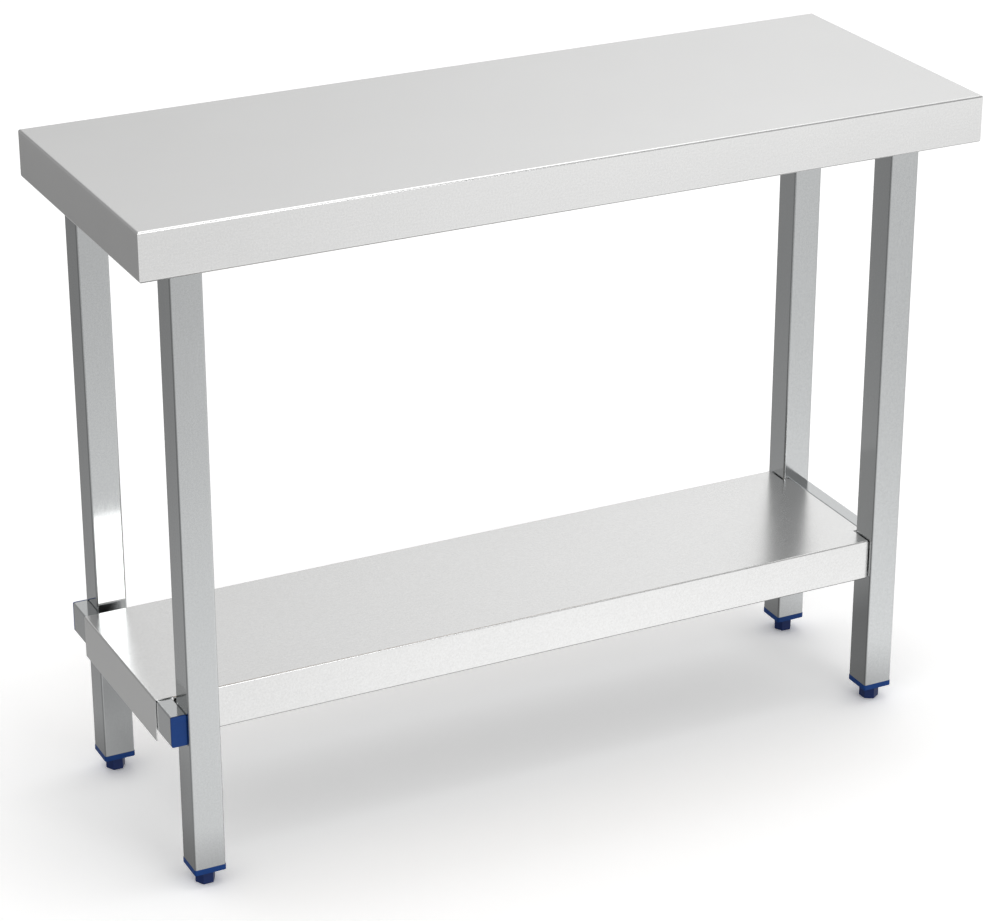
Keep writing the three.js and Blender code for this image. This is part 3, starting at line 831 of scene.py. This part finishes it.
class WORKTABLE_OT_legs(bpy.types.Operator):
    """Build the four legs from square tube"""

    bl_idname = "worktable.legs"
    bl_label = "Legs"

    def execute(self, context):
        table = context.scene.work_table
        tubes, nodes = table.tubes, corners_named("leg")
        values = {
            "Width": tubes.leg_side,
            "Height": tubes.leg_side,
            "Corner": tubes.leg_corner,
            "Wall": tubes.wall,
            "Length": extent(nodes[0]).z,
        }
        tree = group_named("square_tube", tube_tree)
        legs = grow("leg_tubes", map(middle, nodes), tree, leg_finish(), values)
        settle(smooth(legs), "table", "tube_steel", *nodes)
        return {"FINISHED"}


class WORKTABLE_OT_rails(bpy.types.Operator):
    """Build the two rails, the caps of the left one and the ledge on the right one"""

    bl_idname = "worktable.rails"
    bl_label = "Rails"

    def execute(self, context):
        table = context.scene.work_table
        tubes = table.tubes
        tree = group_named("square_tube", tube_tree)
        for node in ("left_rail", "right_rail"):
            values = {
                "Width": tubes.rail_width,
                "Height": tubes.rail_height,
                "Corner": tubes.rail_corner,
                "Wall": tubes.wall,
                "Length": extent(node).y,
                "Turn": (math.pi / 2, 0.0, 0.0),
            }
            tube = grow(f"{node}_tube", [middle(node)], tree, rail_finish(), values)
            settle(smooth(tube), "table", "tube_steel", node)
        caps = ["rail_cap_front", "rail_cap_back"]
        settle(refined("rail_end_caps", caps, plug_finish()), "table", "blue_plastic", *caps)
        paint(["shelf_ledge"], rail_finish())
        self.welds(table)
        return {"FINISHED"}

    def welds(self, table):
        """Beads below the left rail, and on the far side of the right rail's ends."""
        low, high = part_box("left_rail")
        half = table.tubes.leg_side / 2 - table.tubes.leg_corner
        lines = [
            [(high.x, middle(leg).y - half, low.z), (high.x, middle(leg).y + half, low.z)]
            for leg in ("left_front_leg", "left_back_leg")
        ]
        low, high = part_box("right_rail")
        corner = table.tubes.rail_corner
        for y in (low.y, high.y):
            lines.append([(high.x, y, low.z + corner), (high.x, y, high.z - corner)])
            lines.append([(low.x + corner, y, low.z), (high.x - corner, y, low.z)])
        values = {"Radius": table.fixings.bead_radius, "Step": table.fixings.bead_step}
        points = [point for line in lines for point in line]
        edges = [(k, k + 1) for k in range(0, len(points), 2)]
        tree = group_named("weld_bead", bead_tree)
        beads = grow("rail_welds", points, tree, rail_finish(), values, edges)
        settle(smooth(beads, BEAD_BEND), "table", "tube_steel")


class WORKTABLE_OT_shelf(bpy.types.Operator):
    """Give the shelf and its stiffener their satin sheet finish, and mark the stiffener's spot welds"""

    bl_idname = "worktable.shelf"
    bl_label = "Shelf"

    def execute(self, context):
        table = context.scene.work_table
        fixings = table.fixings
        settle(refined("shelf_sheet", ["shelf"], shelf_finish()), "shelf", "shelf_steel", "shelf")
        stiffener = refined("stiffener_sheet", ["shelf_stiffener"], shelf_finish())
        settle(stiffener, "shelf", "shelf_steel", "shelf_stiffener")
        low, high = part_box("shelf_stiffener")
        step = fixings.spot_step
        count = int((high.x - low.x) / step)
        margin = (high.x - low.x - (count - 1) * step) / 2
        rows = (low.y + fixings.spot_edge, high.y - fixings.spot_edge)
        under = high.z - fixings.sheet
        spots = [(low.x + margin + k * step, y, under) for k in range(count) for y in rows]
        values = {"Radius": fixings.spot_radius, "Height": fixings.spot_height}
        tree = group_named("spot_mark", spot_tree)
        marks = grow("stiffener_spot_welds", spots, tree, shelf_finish(), values)
        settle(smooth(marks), "shelf", "shelf_steel")
        return {"FINISHED"}


class WORKTABLE_OT_hinges(bpy.types.Operator):
    """Plate the hinge brackets, and build their screws, pivot bolts and lock nuts"""

    bl_idname = "worktable.hinges"
    bl_label = "Leg hinges"

    def execute(self, context):
        table = context.scene.work_table
        paint(corners_named("hinge_bracket"), plating_finish())
        self.screws(table.fixings)
        self.bolts(table.fixings)
        self.nuts(table.fixings)
        return {"FINISHED"}

    def fasten(self, name, rows, nodes, points, **values):
        """One mesh with a turned fastener at every point, in the place of the CAD nodes."""
        pattern = turned(f"{name}_pattern", rows)
        values = {"Fastener": pattern, "Outwards": True, "Recess": 0.0, **values}
        made = grow(name, points, group_named("hardware", hardware_tree), plating_finish(), values)
        bpy.data.objects.remove(pattern)
        settle(smooth(made), "table", "fastener_steel", *nodes)

    def outer_faces(self, nodes):
        """The middle of each node's face towards the nearer apron."""
        faces = []
        for node in nodes:
            face = middle(node)
            low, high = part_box(node)
            face.y = high.y if face.y > 0 else low.y
            faces.append(face)
        return faces

    def thread(self, start, end, radius, depth, pitch):
        """Rows of a thread's ridges from start down to end."""
        rows = []
        for turn in range(int((start - end) / pitch)):
            top = start - turn * pitch
            rows += [(top, radius - depth), (top - pitch / 2, radius)]
        return [*rows, (end, radius - depth), (end, 0.0)]

    def screws(self, fixings):
        """The screws, from the middle of the head's top down to the tip."""
        nodes = [f"{corner}_screw_{letter}" for corner in CORNERS for letter in "ab"]
        size, head, shank = extent(nodes[0]), fixings.screw_head, fixings.screw_shank
        radius, tip = size.x / 2, 2 * shank
        rows = [(0.0, 0.0), *((-head * down, radius * out) for down, out in PAN_HEAD)]
        rows += [(-head, radius), (-head, shank)]
        thread = self.thread(
            -head - shank, tip - size.z, shank, fixings.screw_depth, fixings.screw_pitch
        )
        rows += [*thread[:-1], (-size.z, 0.0)]
        points = []
        for node in nodes:
            point = middle(node)
            point.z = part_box(node)[0].z
            points.append(point)
        turns = {"Outwards": False, "Recess": fixings.screw_recess, "Seed": 5}
        self.fasten("bracket_screws", rows, nodes, points, **turns)

    def bolts(self, fixings):
        """The pivot bolts, from the head's face to the thread's end."""
        nodes = corners_named("pivot_bolt")
        size, head, shank = extent(nodes[0]), fixings.bolt_head, fixings.bolt_shank
        flats = min(size.x, size.z)
        corner, face, bevel = flats / math.sqrt(3), flats * BOLT_FACE, head * BOLT_BEVEL
        rows = [(0.0, 0.0), (0.0, face), (-bevel, corner, flats), (-head, corner, flats)]
        rows.append((-head, shank))
        start = fixings.bolt_thread - size.y
        rows += self.thread(start, -size.y, shank, fixings.bolt_depth, fixings.bolt_pitch)
        self.fasten("pivot_bolts", rows, nodes, self.outer_faces(nodes), Seed=11)

    def nuts(self, fixings):
        """The lock nuts, from the hexagon's face to the end of the collar that holds the ring."""
        nodes = corners_named("lock_nut")
        size, high, collar = extent(nodes[0]), fixings.nut_hex, fixings.nut_collar
        flats = min(size.x, size.z)
        corner, face, bevel = flats / math.sqrt(3), flats * NUT_FACE, high * NUT_BEVEL
        bore = fixings.bolt_shank + fixings.nut_play
        rows = [
            (0.0, bore),
            (0.0, face),
            (-bevel, corner, flats),
            (bevel - high, corner, flats),
            (-high, face),
            (-high, collar),
            (bevel - size.y, collar),
            (-size.y, collar - bevel / 2),
            (-size.y, bore),
        ]
        self.fasten("lock_nuts", rows, nodes, self.outer_faces(nodes), Seed=23)


class WORKTABLE_OT_feet(bpy.types.Operator):
    """Build the plugs, the threaded stems and the six-sided feet"""

    bl_idname = "worktable.feet"
    bl_label = "Feet"

    def execute(self, context):
        table = context.scene.work_table
        fixings = table.fixings
        plugs = corners_named("foot_plug")
        settle(refined("foot_plugs", plugs, plug_finish()), "table", "blue_plastic", *plugs)
        tree = group_named("threaded_rod", thread_tree)
        for corner in CORNERS:
            stem, foot = f"{corner}_stem", f"{corner}_hex_foot"
            low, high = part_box(stem)
            centre = middle(stem)
            values = {
                "Radius": (high.x - low.x) / 2,
                "Depth": fixings.stem_depth,
                "Pitch": fixings.stem_pitch,
                "Length": high.z - low.z,
                "Rows": round(ROWS_IN_A_TURN * (high.z - low.z) / fixings.stem_pitch),
            }
            end = (centre.x, centre.y, low.z)
            rod = grow(f"{corner}_threaded_stem", [end], tree, plating_finish(), values)
            settle(smooth(rod, THREAD_BEND), f"{corner}_stem", "stem_steel", stem)
            settle(refined(f"{corner}_foot", [foot], foot_finish()), f"{corner}_foot", "blue_plastic", foot)
        return {"FINISHED"}


class WORKTABLE_OT_stage(bpy.types.Operator):
    """Build the floor, the light and the camera"""

    bl_idname = "worktable.stage"
    bl_label = "Stage"

    def execute(self, context):
        table = context.scene.work_table
        studio = table.studio
        self.floor(studio)
        self.soft_wall()
        self.world(studio)
        self.lights(studio)
        self.camera(studio)
        context.scene.view_settings.view_transform = "Standard"
        return {"FINISHED"}

    def bare_material(self, name):
        """A material with an empty tree."""
        made = bpy.data.materials.new(name)
        made.use_nodes = True
        made.node_tree.nodes.clear()
        return made, Tree(made.node_tree)

    def floor(self, studio):
        """The pale floor. Steel sees through it to the wall, with a painted shadow under the table and at its
        feet.
        """
        shape = bmesh.new()
        bmesh.ops.create_circle(shape, cap_ends=True, segments=96, radius=FLOOR_RADIUS)
        mesh = bpy.data.meshes.new("floor")
        shape.to_mesh(mesh)
        shape.free()
        floor = place("floor", mesh)
        floor.location.z = -FLOOR_DROP
        made, tree = self.bare_material("floor_paper")
        rays = tree.add("ShaderNodeLightPath").outputs
        paler = tree.math("MULTIPLY_ADD", rays["Is Camera Ray"], studio.floor_gain, 1.0)
        paper = tree.add("ShaderNodeBsdfDiffuse", {"Color": tree.tinted(studio.floor, paler)})
        where = tree.vector_math("ABSOLUTE", tree.object_place()).outputs[0]
        x, y, _ = tree.axes(where)
        # Painted shadow of the table, in the floor that only the steel's reflections see; the camera sees the
        # real shadow
        half = (cad_box[1] - cad_box[0]) / 2
        under = tree.product(
            tree.graded(x, half.x + FLOOR_PAINTED_SHADOW_FADE, half.x - FLOOR_PAINTED_SHADOW_FADE),
            tree.graded(y, half.y + FLOOR_PAINTED_SHADOW_FADE, half.y - FLOOR_PAINTED_SHADOW_FADE),
        )
        # Painted shadow at the feet, placed round the left front foot and mirrored to the other three corners
        foot = middle("left_front_foot_plug")
        from_foot = tree.vector_math("DISTANCE", where, (-foot.x, -foot.y, 0.0)).outputs[1]
        near = tree.graded(from_foot, *FOOT_PAINTED_SHADOW_RADIUS, high=FOOT_PAINTED_SHADOW)
        painted_table_shadow = tree.math("MULTIPLY_ADD", under, -studio.painted_floor_shadow, 1.0)
        shaded = tree.product(painted_table_shadow, tree.math("SUBTRACT", 1.0, near))
        seen_through = tree.add("ShaderNodeBsdfTransparent", {"Color": tree.vector(shaded, shaded, shaded)})
        above = tree.add("ShaderNodeMixShader", {0: rays["Is Glossy Ray"], 1: paper, 2: seen_through})
        from_below = tree.add("ShaderNodeNewGeometry").outputs["Backfacing"]
        clear = tree.add("ShaderNodeBsdfTransparent")
        tree.add(
            "ShaderNodeOutputMaterial",
            {0: tree.add("ShaderNodeMixShader", {0: from_below, 1: above, 2: clear})},
        )
        mesh.materials.append(made)

    def soft_wall(self):
        """The graded, glowing studio wall all round, which only the steel's reflections see and which stands
        in for the studio's light in them.
        """
        shape = bmesh.new()
        bmesh.ops.create_icosphere(shape, subdivisions=4, radius=WALL_RADIUS)
        bmesh.ops.reverse_faces(shape, faces=shape.faces)
        mesh = bpy.data.meshes.new("soft_wall")
        shape.to_mesh(mesh)
        shape.free()
        wall = place("soft_wall", mesh)
        wall.visible_camera = wall.visible_diffuse = wall.visible_shadow = wall.visible_transmission = False
        # The wall's glow is painted light: graded by direction, with a painted shade in front and a painted
        # strip light overhead
        made, tree = self.bare_material("soft_wall")
        way = tree.vector_math("NORMALIZE", tree.object_place()).outputs[0]
        x, y, z = tree.axes(way)
        turn = tree.math("MULTIPLY_ADD", tree.math("ARCTAN2", x, y), 1 / math.tau, 0.5)
        rise = tree.math("MULTIPLY_ADD", z, 0.5, 0.5)
        levels = self.ramp(tree, turn, WALL_BY_AZIMUTH), self.ramp(tree, rise, WALL_BY_HEIGHT)
        side = tree.product(*levels, WALL_TOP_LEVEL)
        front = tree.graded(y, *FRONT_SHADE_BY_Y)
        above = tree.graded(z, *FRONT_SHADE_BY_Z, high=FRONT_SHADE)
        shaded = tree.product(side, tree.math("SUBTRACT", 1.0, tree.product(front, above)))
        strip = tree.product(tree.graded(x, *STRIP_RIGHT), tree.graded(x, *STRIP_LEFT))
        high = tree.graded(z, *STRIP_BY_Z, high=STRIP_LEVEL)
        glow = tree.add("ShaderNodeEmission", {"Strength": tree.math("MULTIPLY_ADD", high, strip, shaded)})
        tree.add("ShaderNodeOutputMaterial", {0: glow})
        mesh.materials.append(made)

    def ramp(self, tree, value, stops):
        """A grey ramp through the stops of (position, level)."""
        node = tree.add("ShaderNodeValToRGB", {0: value})
        elements = node.color_ramp.elements
        made = [elements[0], elements[1]] + [elements.new(0.5) for _ in stops[2:]]
        for (position, level), element in zip(stops, made):
            element.position = position
            element.color = (level, level, level, 1.0)
        return node.outputs[0]

    def world(self, studio):
        """White to the camera and in reflections, and the soft light from all round to everything else."""
        world = bpy.data.worlds.new("studio")
        world.use_nodes = True
        world.node_tree.nodes.clear()
        tree = Tree(world.node_tree)
        rays = tree.add("ShaderNodeLightPath").outputs
        mirrored = tree.math("MAXIMUM", rays["Is Glossy Ray"], rays["Is Transmission Ray"])
        clear = tree.math("MAXIMUM", rays["Is Camera Ray"], mirrored)
        level = tree.add("ShaderNodeMix", {0: clear, 2: studio.ambient, 3: 1.0}, data_type="FLOAT")
        sky = tree.add("ShaderNodeBackground", {"Color": (1.0, 1.0, 1.0, 1.0), "Strength": level.outputs[0]})
        tree.add("ShaderNodeOutputWorld", {0: sky})
        bpy.context.scene.world = world

    def light(self, name, azimuth, height, distance, size, power):
        """An area light that faces the table, placed by its compass angle from +Y and its height angle."""
        data = bpy.data.lights.new(name, "AREA")
        data.shape = "RECTANGLE"
        data.size, data.size_y = size
        data.energy = power
        lamp = bpy.data.objects.new(name, data)
        bpy.context.scene.collection.objects.link(lamp)
        turn, rise = math.radians(azimuth), math.radians(height)
        level = math.cos(rise)
        way = Vector((math.sin(turn) * level, math.cos(turn) * level, math.sin(rise)))
        lamp.location = LIGHTS_AIM + distance * way
        lamp.rotation_euler = (-way).to_track_quat("-Z", "Y").to_euler()
        lamp.visible_camera = False
        return lamp

    def lights(self, studio):
        self.light("key_light", azimuth=169, height=27, distance=7, size=(2.6, 2.6), power=studio.key_power)
        overhead = self.light(
            "overhead_light", azimuth=120, height=82, distance=6, size=(2.4, 2.0), power=studio.overhead_power
        )
        overhead.visible_glossy = False

    def camera(self, studio):
        data = bpy.data.cameras.new("camera")
        data.sensor_width = SENSOR_WIDTH
        data.lens = studio.lens
        camera = bpy.data.objects.new("camera", data)
        bpy.context.scene.collection.objects.link(camera)
        camera.location = CAMERA_PLACE
        camera.rotation_euler = (CAMERA_TILT, 0.0, CAMERA_TURN)
        bpy.context.scene.camera = camera


STEPS = (
    WORKTABLE_OT_worktop,
    WORKTABLE_OT_legs,
    WORKTABLE_OT_rails,
    WORKTABLE_OT_shelf,
    WORKTABLE_OT_hinges,
    WORKTABLE_OT_feet,
    WORKTABLE_OT_stage,
)


class WORKTABLE_PT_sidebar(bpy.types.Panel):
    """Lists the table's pieces and their sizes and colours"""

    bl_idname = "WORKTABLE_PT_sidebar"
    bl_label = "Work table"
    bl_space_type = "VIEW_3D"
    bl_region_type = "UI"
    bl_category = "Work table"

    def draw(self, context):
        table = context.scene.work_table
        for group in ("tubes", "fixings", "steel", "plastic", "board", "studio"):
            box = self.layout.box()
            box.label(text=group.capitalize())
            values = getattr(table, group)
            for name in values.__annotations__:
                box.prop(values, name)
        for step in STEPS:
            self.layout.operator(step.bl_idname)


GROUPS = (TubeSizes, FixingSizes, SteelFinish, PlasticFinish, BoardFinish, Studio, TableProperties)
CLASSES = (*GROUPS, *STEPS, WORKTABLE_PT_sidebar)


def register():
    for each in CLASSES:
        bpy.utils.register_class(each)
    bpy.types.Scene.work_table = bpy.props.PointerProperty(type=TableProperties)


def unregister():
    del bpy.types.Scene.work_table
    for each in reversed(CLASSES):
        bpy.utils.unregister_class(each)


def main():
    register()
    for step in STEPS:
        family, name = step.bl_idname.split(".")
        getattr(getattr(bpy.ops, family), name)()


if __name__ == "__main__":
    main()
